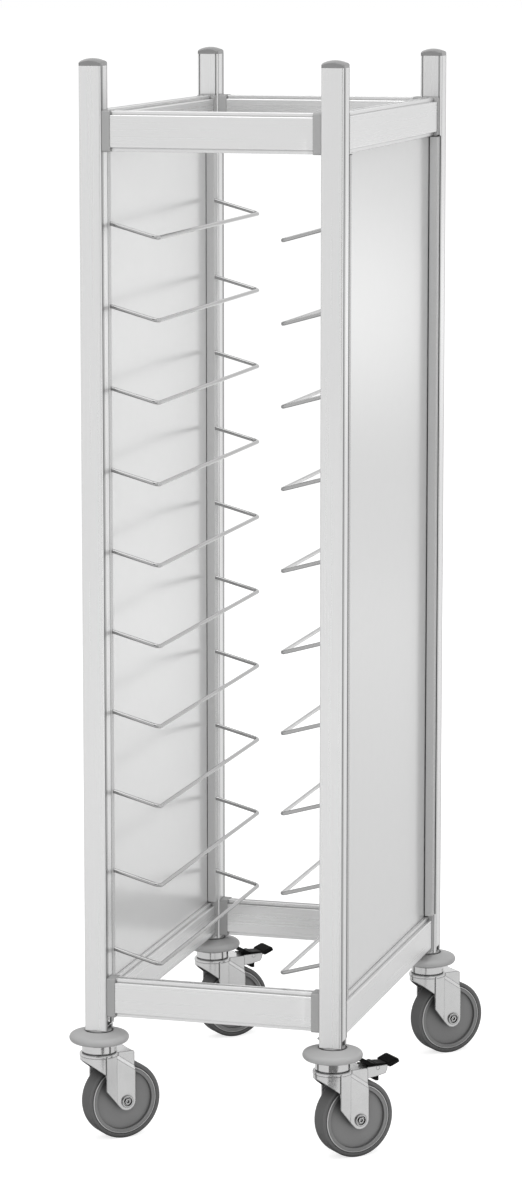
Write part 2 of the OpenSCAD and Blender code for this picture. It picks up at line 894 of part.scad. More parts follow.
// Crown of the fork: a rim round the king pin, a boss and a front wall that arches over the tyre
module fork_crown() {
    rim_r = crown_d / 2;
    rotate_extrude()
        difference() {
            union() {
                translate([0, crown_top_z - crown_rim_t])
                    square([rim_r - crown_edge_r, crown_rim_t]);
                translate([0, crown_top_z - crown_rim_t])
                    square([rim_r, crown_rim_t - crown_edge_r]);
                translate([rim_r - crown_edge_r, crown_top_z - crown_edge_r])
                    circle(crown_edge_r);
                translate([0, crown_base_z])
                    square([boss_d / 2, crown_h]);
            }
            square([kingpin_r + run_fit, 2 * crown_top_z]);
        }
    intersection() {
        translate([0, 0, leg_throat_z])
            linear_extrude(crown_top_z - crown_rim_t / 2 - leg_throat_z)
                difference() {
                    circle(crown_wall_r);
                    circle(crown_wall_r - leg_t);
                }
        rotate([90, 0, 0])
            linear_extrude(2 * crown_d, center = true)
                polygon([
                    [-crown_d, crown_rim_z + crown_d - rim_r],
                    [-rim_r, crown_rim_z],
                    [leg_front_x, leg_knee_z],
                    [leg_front_x + leg_t, leg_knee_z],
                    [leg_front_x + leg_t, crown_top_z],
                    [-crown_d, crown_top_z]
                ]);
    }
}

// Fork: crown, two legs, and a top plate that joins the legs behind the crown
module fork(c) {
    color(zinc)
        at_caster(c) {
            fork_crown();
            fork_leg();
            mirror([0, 1, 0])
                fork_leg();
            translate([boss_d / 2, -upper_out_y + leg_t / 2, web_low_z])
                cube([leg_rear_x - fork_corner_r - boss_d / 2, 2 * upper_out_y - leg_t, leg_t]);
        }
}

// Axle bolt with a hexagon in its dished head, and the nut on its other end
module axle(c) {
    hex_d = axle_hex_w / cos(180 / 6);
    color(zinc)
        at_caster(c)
            translate([trail, 0, wheel_r])
                rotate([90, 0, 0]) {
                    translate([0, 0, -fork_out_y - axle_nut_t])
                        cylinder(r = axle_r, h = 2 * fork_out_y + axle_nut_t);
                    translate([0, 0, fork_out_y])
                        difference() {
                            cylinder(d = axle_head_d, h = axle_head_t);
                            translate([0, 0, axle_head_t - axle_dish_t])
                                cylinder(d = axle_head_d - 2 * axle_ring_w, h = axle_dish_t + over);
                        }
                    translate([0, 0, fork_out_y])
                        difference() {
                            cylinder(d = hex_d, h = axle_head_t, $fn = 6);
                            translate([0, 0, axle_head_t - axle_dish_t])
                                cylinder(d = axle_socket_d, h = axle_dish_t + over);
                        }
                    translate([0, 0, -fork_out_y - axle_nut_t])
                        difference() {
                            cylinder(d = axle_nut_w / cos(180 / 6), h = axle_nut_t, $fn = 6);
                            translate([0, 0, -over])
                                cylinder(r = axle_r + push_fit, h = axle_nut_t + 2 * over);
                        }
                }
}

// Wheel: hub, disc and a rim with two beaded flanges that hold the tyre
module wheel(c) {
    rim_in_r = seat_r - rim_wall;
    color(wheel_grey)
        at_caster(c)
            translate([trail, 0, wheel_r])
                rotate([90, 0, 0])
                    rotate_extrude() {
                        translate([axle_r + run_fit, -hub_w / 2])
                            square([hub_d / 2 - axle_r - run_fit, hub_w]);
                        translate([hub_d / 2 - over, -disc_t / 2])
                            square([rim_in_r - hub_d / 2 + 2 * over, disc_t]);
                        translate([rim_in_r, -rim_w / 2])
                            square([rim_wall, rim_w]);
                        for (side = [-1, 1])
                            translate([seat_r - rim_wall / 2, side * (rim_w - flange_t) / 2 - flange_t / 2])
                                square([flange_h + rim_wall / 2, flange_t]);
                        for (side = [-1, 1])
                            translate([flange_r - rim_bead_r, side * (rim_w / 2 - flange_t + rim_bead_r)])
                                circle(rim_bead_r);
                    }
}

// Tyre: a round-edged tread over the flanges, and a bead between them
module tyre(c) {
    bead_w = rim_w - 2 * flange_t - 2 * push_fit;
    color(tyre_grey)
        at_caster(c)
            translate([trail, 0, wheel_r])
                rotate([90, 0, 0])
                    rotate_extrude() {
                        translate([tyre_in_r + tyre_t / 2, 0])
                            round_rect(tyre_t, wheel_w, tyre_edge_r);
                        translate([seat_r + push_fit, -bead_w / 2])
                            square([tyre_in_r + tyre_t / 2 - seat_r - push_fit, bead_w]);
                    }
}

// Side of the brake bracket, with x along the trail and y up
module bracket_outline() {
    difference() {
        polygon([
            [bracket_lap_x, web_low_z],
            [leg_rear_x, web_low_z],
            [leg_rear_x, crown_top_z],
            [bracket_end_x, crown_top_z],
            [bracket_end_x, crown_top_z - bracket_tip_h],
            [
                bracket_end_x - bracket_heel_tail_share * bracket_tail,
                crown_top_z - bracket_heel_share * bracket_h
            ],
            [
                pivot_x - bracket_mid_tail_share * bracket_tail,
                crown_top_z - bracket_mid_share * bracket_h
            ],
            [leg_rear_x, crown_top_z - bracket_h],
            [bracket_lap_x, crown_top_z - bracket_h]
        ]);
        translate([pivot_x, pivot_z])
            circle(d = brake_pin_d + 2 * push_fit);
    }
}

// Brake bracket: two sides inside the legs of the fork and a floor above the tyre
module brake_bracket(c) {
    color(zinc)
        at_caster(c) {
            for (side = [-1, 1])
                translate([0, side * (bracket_y + bracket_t / 2), 0])
                    rotate([90, 0, 0])
                        linear_extrude(bracket_t, center = true)
                            bracket_outline();
            translate([bracket_lap_x, -bracket_y - bracket_t / 2, bracket_floor_z])
                cube([
                    pivot_x - pedal_hub_r - bracket_lap_x,
                    2 * bracket_y + bracket_t,
                    bracket_t
                ]);
        }
}

module brake_pin(c) {
    color(steel)
        at_caster(c)
            translate([pivot_x, 0, pivot_z])
                rotate([90, 0, 0])
                    cylinder(d = brake_pin_d, h = 2 * (bracket_y + bracket_t), center = true);
}

// Outline of the pedal's two arms about its pivot
module pedal_outline() {
    polygon([
        [-toe_l, toe_h - pedal_t],
        [-toe_l + pedal_t / 2, toe_h],
        [-pedal_hub_r, pedal_hub_r],
        [heel_l, pedal_heel_share * pedal_hub_r],
        [heel_l, pedal_heel_share * pedal_hub_r - pedal_t],
        [pedal_hub_r, -pedal_waist_share * pedal_hub_r],
        [-pedal_hub_r, 0]
    ]);
    polygon([
        [shoe_x, 0],
        [shoe_x + shoe_l, 0],
        [shoe_x + shoe_l, -pedal_t],
        [shoe_x, -pedal_t]
    ]);
}

// Brake pedal: release arm, hub, foot pad with ribs, and the shoe that meets the tyre
module brake_pedal(c) {
    rib_pitch = pad_l / (pad_ribs + 1);
    color(black_plastic)
        at_caster(c)
            translate([pivot_x, 0, pivot_z])
                difference() {
                    union() {
                        rotate([90, 0, 0])
                            linear_extrude(pedal_w, center = true)
                                pedal_outline();
                        rotate([90, 0, 0])
                            cylinder(r = pedal_hub_r, h = pedal_hub_w, center = true);
                        translate([shoe_x, -shoe_w / 2, -shoe_drop])
                            cube([shoe_l, shoe_w, shoe_drop]);
                        translate([heel_l, 0, pedal_heel_share * pedal_hub_r - pad_t])
                            rotate([0, -pad_tilt, 0]) {
                                linear_extrude(pad_t)
                                    translate([pad_l / 2, 0])
                                        round_rect(pad_l, pad_w, pad_corner_r);
                                for (rib = [1 : pad_ribs])
                                    translate([rib * rib_pitch, 0, pad_t])
                                        cube(
                                            [pad_rib_w, pad_rib_share * pad_w, 2 * pad_rib_h],
                                            center = true
                                        );
                            }
                    }
                    rotate([90, 0, 0])
                        cylinder(
                            d = brake_pin_d + 2 * run_fit,
                            h = pedal_hub_w + 2 * over,
                            center = true
                        );
                }
}

post(FL);  // post_front_left
post(FR);  // post_front_right
post(RL);  // post_rear_left
post(RR);  // post_rear_right
post_cap(FL);  // post_cap_front_left
post_cap(FR);  // post_cap_front_right
post_cap(RL);  // post_cap_rear_left
post_cap(RR);  // post_cap_rear_right
cross_rail(-1, top_rail_z);  // top_rail_front
cross_rail(1, top_rail_z);  // top_rail_rear
side_rail(-1, top_rail_z);  // top_rail_left
side_rail(1, top_rail_z);  // top_rail_right
cross_rail(-1, front_rail_z);  // bottom_rail_front
cross_rail(1, low_rail_z);  // bottom_rail_rear
side_rail(-1, low_rail_z);  // bottom_rail_left
side_rail(1, low_rail_z);  // bottom_rail_right
top_rail_connectors();
bottom_rail_connectors();
support_strip(FL);  // support_strip_front_left
support_strip(FR);  // support_strip_front_right
support_strip(RL);  // support_strip_rear_left
support_strip(RR);  // support_strip_rear_right
side_panel(-1);  // side_panel_left
side_panel(1);  // side_panel_right
tray_supports(-1);  // tray_supports_left
tray_supports(1);  // tray_supports_right
caster_sockets();
king_pins();
bumper_washers();
socket_clips();
bumper(FL);  // bumper_front_left
bumper(FR);  // bumper_front_right
bumper(RL);  // bumper_rear_left
bumper(RR);  // bumper_rear_right
swivel_head(FL);  // swivel_head_front_left
swivel_head(FR);  // swivel_head_front_right
swivel_head(RL);  // swivel_head_rear_left
swivel_head(RR);  // swivel_head_rear_right
fork(FL);  // fork_front_left
fork(FR);  // fork_front_right
fork(RL);  // fork_rear_left
fork(RR);  // fork_rear_right
axle(FL);  // axle_front_left
axle(FR);  // axle_front_right
axle(RL);  // axle_rear_left
axle(RR);  // axle_rear_right
wheel(FL);  // wheel_front_left
wheel(FR);  // wheel_front_right
wheel(RL);  // wheel_rear_left
wheel(RR);  // wheel_rear_right
tyre(FL);  // tyre_front_left
tyre(FR);  // tyre_front_right
tyre(RL);  // tyre_rear_left
tyre(RR);  // tyre_rear_right
brake_bracket(FR);  // brake_bracket_front_right
brake_bracket(RL);  // brake_bracket_rear_left
brake_pin(FR);  // brake_pin_front_right
brake_pin(RL);  // brake_pin_rear_left
brake_pedal(FR);  // brake_pedal_front_right
brake_pedal(RL);  // brake_pedal_rear_left
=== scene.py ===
"""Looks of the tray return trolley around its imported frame: camera, studio, finishes and panel seals."""
import json
import math

import bmesh
import bpy
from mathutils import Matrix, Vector


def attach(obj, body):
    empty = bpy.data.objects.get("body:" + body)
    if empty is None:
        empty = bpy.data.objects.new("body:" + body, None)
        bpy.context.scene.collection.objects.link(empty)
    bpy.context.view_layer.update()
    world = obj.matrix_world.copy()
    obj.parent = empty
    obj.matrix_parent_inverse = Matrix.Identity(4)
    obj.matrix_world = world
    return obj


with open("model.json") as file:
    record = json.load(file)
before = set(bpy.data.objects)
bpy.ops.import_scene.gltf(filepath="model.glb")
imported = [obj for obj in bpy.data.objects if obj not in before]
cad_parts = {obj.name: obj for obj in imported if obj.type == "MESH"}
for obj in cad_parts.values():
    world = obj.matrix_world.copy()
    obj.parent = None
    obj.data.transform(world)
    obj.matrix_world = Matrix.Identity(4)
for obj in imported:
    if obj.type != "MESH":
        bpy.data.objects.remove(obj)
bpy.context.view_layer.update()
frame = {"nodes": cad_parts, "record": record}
scene = bpy.context.scene
nodes = frame["nodes"]

# Camera, as fitted to the photograph's 522 by 1200 pixel frame, with its angles in degrees
PHOTO_HEIGHT = 1200
FOCAL_PIXELS = 4111.7
SENSOR = 36.0
CAMERA_PLACE = (1.7858, -6.3482, 1.9062)
CAMERA_YAW = 15.832
CAMERA_PITCH = 9.268
CAMERA_CLIP_END = 100.0

# World and floor: the light they give, and how bright the floor glows where it is seen
WORLD_LIGHT = 0.58
FLOOR_SIZE = 400.0
FLOOR_COLOUR = 0.6
FLOOR_GLOW = 0.72
# How bright the floor looks in mirrored light, at a near and a far distance from the trolley's middle
FLOOR_DISTANCES = (1.2, 5.5)
FLOOR_MIRRORED = (0.36, 0.62)

# Softboxes: name, place, aim, size, power in watts, and whether bright surfaces mirror them
MIDDLE = (0.0, 0.0, 0.9)
SOFTBOXES = [
    ("front", (2.0, -4.9, 2.0), MIDDLE, (3.6, 3.6), 102.0, False),
    ("top", (0.3, -0.9, 4.6), MIDDLE, (4.4, 4.4), 72.0, True),
    ("back", (0.5, 5.0, 2.5), MIDDLE, (3.0, 3.0), 25.0, False),
    ("inside", (0.15, -0.05, 0.905), (-0.19, -0.05, 0.905), (0.58, 1.38), 2.0, True),
]

# Corners of the dark cards, seen only in mirrored light
# One lies just above the floor before the casters, and one stands behind the camera
CARDS = {
    "low_card": [(0.10, -0.68, 0.004), (1.05, -0.68, 0.004), (1.30, -1.30, 0.004), (0.10, -1.30, 0.004)],
    "far_card": [(-0.3, -7.4, 0.2), (3.6, -7.4, 0.2), (3.6, -7.4, 7.0), (-0.3, -7.4, 7.0)],
}
CARD_LEVEL = 0.22

# Soft round glow, seen only in mirrored light, for the highlight of the right panel
WINDOW_PLACE = (0.64, 1.293, 1.197)
WINDOW_AIM = (0.194, -0.25, 1.34)
WINDOW_RADIUS = 0.36
WINDOW_GLOW = 0.52

# What all finishes share: detail of the fine and the broad noise, and the ranges that are read from them
FINE_DETAIL = 3.0
BROAD_DETAIL = 2.0
SHADE_FROM = (0.6, 1.4)
POLISH_FROM = (0.3, 0.7)
UNIT = (0.0, 1.0)
# Openness at which a joint or groove has all its painted shade, and samples of openness, soft edges and the
# painted shade along edges
CLOSED_SHARE = 0.15
OPEN_SAMPLES = 8
EDGE_SAMPLES = 4
EDGE_SHADE_SAMPLES = 6
# How far the rounded and the flat normal agree, from full painted shade along an edge to none
EDGE_SHADE_FROM = (0.965, 0.999)

# Painted highlight along the edge of the wheels' rims
RIM_RADIUS = 0.0545
RIM_WIDTH = 0.0012
RIM_HIGHLIGHT_LEVEL = 0.6

# Painted shade in bands along the posts, from the middle: on their inner sides, and on the outer sides of the
# front two
BAND_INNER_X = 0.1755
BAND_OUTER_X = 0.2085
BAND_LOW_Y = 0.3225
BAND_HIGH_Y = 0.3335

DRAWN = 0.004
# Aluminium takes strong painted shade in its grooves and in the joints between parts
ALUMINIUM = dict(
    level=0.72, spread=0.018, rough=0.29, rough_spread=0.03, grain=420.0, bump=0.00001, edge=0.0005,
    metallic=0.8, cloud=3.0, painted_shade=0.9, reach=0.0035, open_from=0.85,
)
FINISHES = {
    "aluminium_x": dict(ALUMINIUM, stretch=(DRAWN, 1.0, 1.0)),
    "aluminium_y": dict(ALUMINIUM, stretch=(1.0, DRAWN, 1.0)),
    # The posts also take painted shade in bands along their sides
    "aluminium_z": dict(ALUMINIUM, stretch=(1.0, 1.0, DRAWN), band_shade_level=0.34),
    "cap_plastic": dict(
        level=0.20, spread=0.05, rough=0.22, rough_spread=0.05, grain=2600.0, bump=0.00002, edge=0.0005,
        specular=0.9,
    ),
    "grey_plastic": dict(
        level=0.36, spread=0.05, rough=0.5, rough_spread=0.06, grain=2600.0, bump=0.00003, edge=0.0005,
    ),
    "strip_plastic": dict(
        level=0.46, spread=0.04, rough=0.28, rough_spread=0.05, grain=1800.0, bump=0.00001, edge=0.0004,
    ),
    "panel": dict(
        level=0.70, spread=0.006, rough=0.20, rough_spread=0.008, grain=40.0,
        metallic=0.4, cloud=2.0,
    ),
    "wire": dict(
        level=0.39, spread=0.06, rough=0.08, rough_spread=0.03, grain=900.0,
        metallic=1.0, cloud=14.0,
    ),
    "zinc": dict(
        level=0.62, spread=0.05, rough=0.11, rough_spread=0.04, grain=240.0, bump=0.00002, edge=0.0007,
        metallic=1.0, cloud=30.0,
    ),
    # Painted shade in the forks' joints and along their sharp edges and creases
    "pressed_zinc": dict(
        level=0.63, spread=0.05, rough=0.19, rough_spread=0.05, grain=240.0, bump=0.00001, edge=0.0007,
        metallic=0.85, cloud=30.0, painted_shade=0.9, open_from=0.9, edge_shade=(0.75, 0.10, 0.0020),
    ),
    # Painted shade in the bolts' recesses and along their edges
    "bolt": dict(
        level=0.62, spread=0.05, rough=0.09, rough_spread=0.03, grain=240.0, bump=0.00001, edge=0.0004,
        metallic=1.0, cloud=30.0, painted_shade=0.97, reach=0.006, open_from=0.9, edge_shade=(0.9, 0.02, 0.0014),
    ),
    # Washers near black: painted shade, for the dark ring around each post's foot
    "dark_washer": dict(
        level=0.03, spread=0.2, rough=0.4, rough_spread=0.08, grain=900.0, bump=0.00002, edge=0.0004,
    ),
    "black_plastic": dict(
        level=0.006, spread=0.25, rough=0.45, rough_spread=0.06, grain=2400.0, bump=0.00002, edge=0.0004,
        specular=0.05,
    ),
    "seal_rubber": dict(
        level=0.012, spread=0.2, rough=0.45, rough_spread=0.06, grain=1600.0, bump=0.00001, edge=0.0002,
        specular=0.3,
    ),
    # Sockets: lighter under the posts' feet, a painted highlight for the bright crescent there
    "socket": dict(
        level=0.012, spread=0.25, rough=0.42, rough_spread=0.08, grain=2400.0, bump=0.00003, edge=0.0005,
        highlight_below=(0.1822, 0.42),
    ),
    "bumper_plastic": dict(
        level=0.43, spread=0.04, rough=0.55, rough_spread=0.05, grain=2200.0, bump=0.00003, edge=0.0006,
    ),
    # Strong painted shade on the tyres under the forks and near the floor
    "tyre_rubber": dict(
        level=0.122, spread=0.10, rough=0.72, rough_spread=0.06, grain=1600.0, bump=0.00005, edge=0.0008,
        painted_shade=0.95, reach=0.06, open_from=0.92,
    ),
}
# Painted shade on the wheels near the fork legs
WHEEL_FINISH = dict(
    level=0.21, spread=0.06, rough=0.42, rough_spread=0.06, grain=1500.0, bump=0.00002, edge=0.0006,
    painted_shade=0.95, reach=0.045,
)

# Which finish each node takes, by the start of its name; the first that fits counts
FINISH_OF = [
    ("post_cap", "cap_plastic"),
    ("post_", "aluminium_z"),
    ("top_rail_connectors", "grey_plastic"),
    ("bottom_rail_connectors", "grey_plastic"),
    ("top_rail_front", "aluminium_x"),
    ("top_rail_rear", "aluminium_x"),
    ("bottom_rail_front", "aluminium_x"),
    ("bottom_rail_rear", "aluminium_x"),
    ("top_rail_", "aluminium_y"),
    ("bottom_rail_", "aluminium_y"),
    ("support_strip", "strip_plastic"),
    ("side_panel", "panel"),
    ("tray_supports", "wire"),
    ("caster_sockets", "socket"),
    ("fork_", "pressed_zinc"),
    ("brake_bracket", "pressed_zinc"),
    ("bumper_washers", "dark_washer"),
    ("axle_", "bolt"),
    ("bumper_", "bumper_plastic"),
    ("tyre_", "tyre_rubber"),
    ("brake_pedal", "black_plastic"),
]
OTHER_FINISH = "zinc"

# Panel seals: faces of strips, posts and panels from the middle, and the strips' lower and upper ends
STRIP_FACE_Y = 0.281
STRIP_SIDE_X = 0.2085
POST_FACE_Y = 0.299
PANEL_FACES_X = (0.190, 0.194)
STRIP_ENDS_Z = (0.2505, 1.5685)
# How far the seals stand out: outside the panel, inside it, along the post, and over the strip's upper end
SEAL_OUT = 0.0013
SEAL_IN = 0.0007
SEAL_POST = 0.001
SEAL_LID = 0.0007
# Rounding of the seals' edges, as a share of the thinnest side
SEAL_ROUNDING = 0.3
SEAL_SEGMENTS = 2
SEAL_PROFILE = 0.5

# Sockets of Blender's Mix node where it mixes colours
MIX_SHARE, MIX_FIRST, MIX_SECOND, MIX_RESULT = 0, 6, 7, 2


# Node helpers
def new_node(tree, kind, inputs=None, **settings):
    """A node with its settings, and with each input linked to a socket or set to a value."""
    node = tree.nodes.new(kind)
    for key, value in settings.items():
        setattr(node, key, value)
    for key, value in (inputs or {}).items():
        if isinstance(value, bpy.types.NodeSocket):
            tree.links.new(value, node.inputs[key])
        else:
            node.inputs[key].default_value = value
    return node


def grey(level):
    """A neutral colour of one linear level."""
    return (level, level, level, 1.0)


def math_node(tree, operation, first, second=0.0):
    return new_node(tree, "ShaderNodeMath", {0: first, 1: second}, operation=operation).outputs[0]


def vector_node(tree, operation, inputs, output="Vector"):
    return new_node(tree, "ShaderNodeVectorMath", inputs, operation=operation).outputs[output]


def map_range(tree, value, source, target, shape="LINEAR"):
    """A value carried from one range to another, and held at the ends."""
    inputs = {
        "Value": value, "From Min": source[0], "From Max": source[1],
        "To Min": target[0], "To Max": target[1],
    }
    return new_node(tree, "ShaderNodeMapRange", inputs, interpolation_type=shape).outputs["Result"]


def mix(tree, share, first, second):
    """The first colour where share is zero, the second where it is one."""
    inputs = {MIX_SHARE: share, MIX_FIRST: first, MIX_SECOND: second}
    return new_node(tree, "ShaderNodeMix", inputs, data_type="RGBA").outputs[MIX_RESULT]


def noise(tree, place, scale, detail):
    inputs = {"Vector": place, "Scale": scale, "Detail": detail}
    return new_node(tree, "ShaderNodeTexNoise", inputs).outputs["Fac"]


def object_place(tree):
    return new_node(tree, "ShaderNodeTexCoord").outputs["Object"]


def distance_from_origin(tree):
    return vector_node(tree, "LENGTH", {0: object_place(tree)}, "Value")


def add_shaders(tree, first, second):
    return new_node(tree, "ShaderNodeAddShader", {0: first.outputs[0], 1: second.outputs[0]})


def set_surface(tree, shader, output="ShaderNodeOutputMaterial"):
    new_node(tree, output, {"Surface": shader.outputs[0]})


def new_material(name):
    material = bpy.data.materials.new(name)
    material.use_nodes = True
    material.node_tree.nodes.clear()
    return material


# Camera and studio
def make_camera():
    data = bpy.data.cameras.new("camera")
    data.sensor_width = SENSOR
    data.lens = SENSOR * FOCAL_PIXELS / PHOTO_HEIGHT
    data.clip_end = CAMERA_CLIP_END
    camera = bpy.data.objects.new("camera", data)
    camera.location = CAMERA_PLACE
    camera.rotation_euler = (math.radians(90.0 - CAMERA_PITCH), 0.0, math.radians(CAMERA_YAW))
    scene.collection.objects.link(camera)
    scene.camera = camera


def sees_studio(tree):
    """One for camera, glossy and transmission rays, and zero for the rays that carry light."""
    path = new_node(tree, "ShaderNodeLightPath").outputs
    seen = math_node(tree, "ADD", path["Is Camera Ray"], path["Is Glossy Ray"])
    seen = math_node(tree, "ADD", seen, path["Is Transmission Ray"])
    return math_node(tree, "MINIMUM", seen, 1.0)


def make_world():
    """White where it is seen, and a plain even light for everything else."""
    world = bpy.data.worlds.new("studio")
    scene.world = world
    world.use_nodes = True
    tree = world.node_tree
    tree.nodes.clear()
    strength = map_range(tree, sees_studio(tree), UNIT, (WORLD_LIGHT, 1.0))
    background = new_node(tree, "ShaderNodeBackground", {"Color": grey(1.0), "Strength": strength})
    set_surface(tree, background, "ShaderNodeOutputWorld")


def square(half):
    return [(-half, -half, 0.0), (half, -half, 0.0), (half, half, 0.0), (-half, half, 0.0)]


def facing(place, aim):
    """Rotation that turns a lamp or sheet at one place towards another."""
    return (Vector(aim) - Vector(place)).to_track_quat("-Z", "Y").to_euler()


def add_sheet(name, corners, material):
    """A flat sheet of the studio with four corners."""
    mesh = bpy.data.meshes.new(name)
    mesh.from_pydata(corners, [], [(0, 1, 2, 3)])
    mesh.materials.append(material)
    sheet = bpy.data.objects.new(name, mesh)
    scene.collection.objects.link(sheet)
    return sheet


def show_mirrored_only(sheet):
    sheet.visible_camera = False
    sheet.visible_diffuse = False
    sheet.visible_shadow = False
    sheet.visible_transmission = False


def make_floor():
    """A pale floor that keeps the trolley's shadow, and glows up to white where it is seen."""
    material = new_material("floor")
    tree = material.node_tree
    path = new_node(tree, "ShaderNodeLightPath").outputs
    direct = math_node(tree, "MAXIMUM", path["Is Camera Ray"], path["Is Transmission Ray"])
    mirrored = map_range(tree, distance_from_origin(tree), FLOOR_DISTANCES, FLOOR_MIRRORED)
    glow = math_node(
        tree, "MAXIMUM",
        math_node(tree, "MULTIPLY", direct, FLOOR_GLOW),
        math_node(tree, "MULTIPLY", path["Is Glossy Ray"], mirrored),
    )
    diffuse = new_node(tree, "ShaderNodeBsdfDiffuse", {"Color": grey(FLOOR_COLOUR)})
    emission = new_node(tree, "ShaderNodeEmission", {"Color": grey(1.0), "Strength": glow})
    set_surface(tree, add_shaders(tree, diffuse, emission))
    add_sheet("floor", square(FLOOR_SIZE / 2), material)


def make_lights():
    for name, place, aim, size, power, mirrored in SOFTBOXES:
        light = bpy.data.lights.new(name, "AREA")
        light.shape = "RECTANGLE"
        light.size, light.size_y = size
        light.energy = power
        lamp = bpy.data.objects.new(name, light)
        lamp.location = place
        lamp.rotation_euler = facing(place, aim)
        lamp.visible_camera = False
        lamp.visible_glossy = mirrored
        scene.collection.objects.link(lamp)


def make_dark_cards():
    """Dark cards that give bright metal its dark streaks."""
    material = new_material("dark_card")
    tree = material.node_tree
    set_surface(tree, new_node(tree, "ShaderNodeEmission", {"Color": grey(CARD_LEVEL)}))
    for name, corners in CARDS.items():
        show_mirrored_only(add_sheet(name, corners, material))


def make_window():
    """A soft glow mirrored in the right panel, strongest in its middle and clear at its edge."""
    material = new_material("window")
    tree = material.node_tree
    glow = map_range(tree, distance_from_origin(tree), (0.0, WINDOW_RADIUS), (WINDOW_GLOW, 0.0), "SMOOTHSTEP")
    clear = new_node(tree, "ShaderNodeBsdfTransparent")
    emission = new_node(tree, "ShaderNodeEmission", {"Color": grey(1.0), "Strength": glow})
    set_surface(tree, add_shaders(tree, clear, emission))
    window = add_sheet("window", square(WINDOW_RADIUS), material)
    window.location = WINDOW_PLACE
    window.rotation_euler = facing(WINDOW_PLACE, WINDOW_AIM)
    show_mirrored_only(window)


# Finishes
def rim_highlight_share(tree, place, centre, axle):
    """One on the painted highlight at the edge of a wheel's rim and zero elsewhere: centre is on the axle,
    and axle its direction.
    """
    arm = vector_node(tree, "SUBTRACT", {0: place, 1: centre})
    along = vector_node(tree, "DOT_PRODUCT", {0: arm, 1: axle}, "Value")
    shift = vector_node(tree, "SCALE", {0: axle, "Scale": along})
    across = vector_node(tree, "SUBTRACT", {0: arm, 1: shift})
    radius = vector_node(tree, "LENGTH", {0: across}, "Value")
    off = math_node(tree, "ABSOLUTE", math_node(tree, "SUBTRACT", radius, RIM_RADIUS))
    return map_range(tree, off, (RIM_WIDTH / 2, RIM_WIDTH), (1.0, 0.0))


def band_shade_share(tree, place):
    """One on the bands of painted shade along the posts' sides and zero elsewhere."""
    axes = new_node(tree, "ShaderNodeSeparateXYZ", {0: place}).outputs
    across = math_node(tree, "ABSOLUTE", axes["X"])
    along = math_node(tree, "ABSOLUTE", axes["Y"])
    inner = math_node(tree, "LESS_THAN", across, BAND_INNER_X)
    outer = math_node(tree, "GREATER_THAN", across, BAND_OUTER_X)
    front = math_node(tree, "LESS_THAN", axes["Y"], 0.0)
    side = math_node(tree, "MAXIMUM", inner, math_node(tree, "MULTIPLY", outer, front))
    low = math_node(tree, "GREATER_THAN", along, BAND_LOW_Y)
    high = math_node(tree, "LESS_THAN", along, BAND_HIGH_Y)
    return math_node(tree, "MULTIPLY", side, math_node(tree, "MULTIPLY", low, high))


def below_share(tree, place, height):
    """One under a height and zero above it."""
    axes = new_node(tree, "ShaderNodeSeparateXYZ", {0: place}).outputs
    return math_node(tree, "LESS_THAN", axes["Z"], height)


def unshaded_share(tree, painted_shade, reach, open_from):
    """One on open surfaces, down to what the painted shade leaves in closed joints and grooves."""
    inputs = {"Distance": reach}
    open_share = new_node(tree, "ShaderNodeAmbientOcclusion", inputs, samples=OPEN_SAMPLES).outputs["AO"]
    return map_range(tree, open_share, (CLOSED_SHARE, open_from), (1.0 - painted_shade, 1.0))


def edge_shade_share(tree, share, width):
    """The given share of painted shade along sharp edges and creases, within a width of them, and zero
    elsewhere.
    """
    rounded = new_node(tree, "ShaderNodeBevel", {"Radius": width}, samples=EDGE_SHADE_SAMPLES).outputs["Normal"]
    flat = new_node(tree, "ShaderNodeNewGeometry").outputs["True Normal"]
    same = vector_node(tree, "DOT_PRODUCT", {0: rounded, 1: flat}, "Value")
    return map_range(tree, same, EDGE_SHADE_FROM, (share, 0.0))


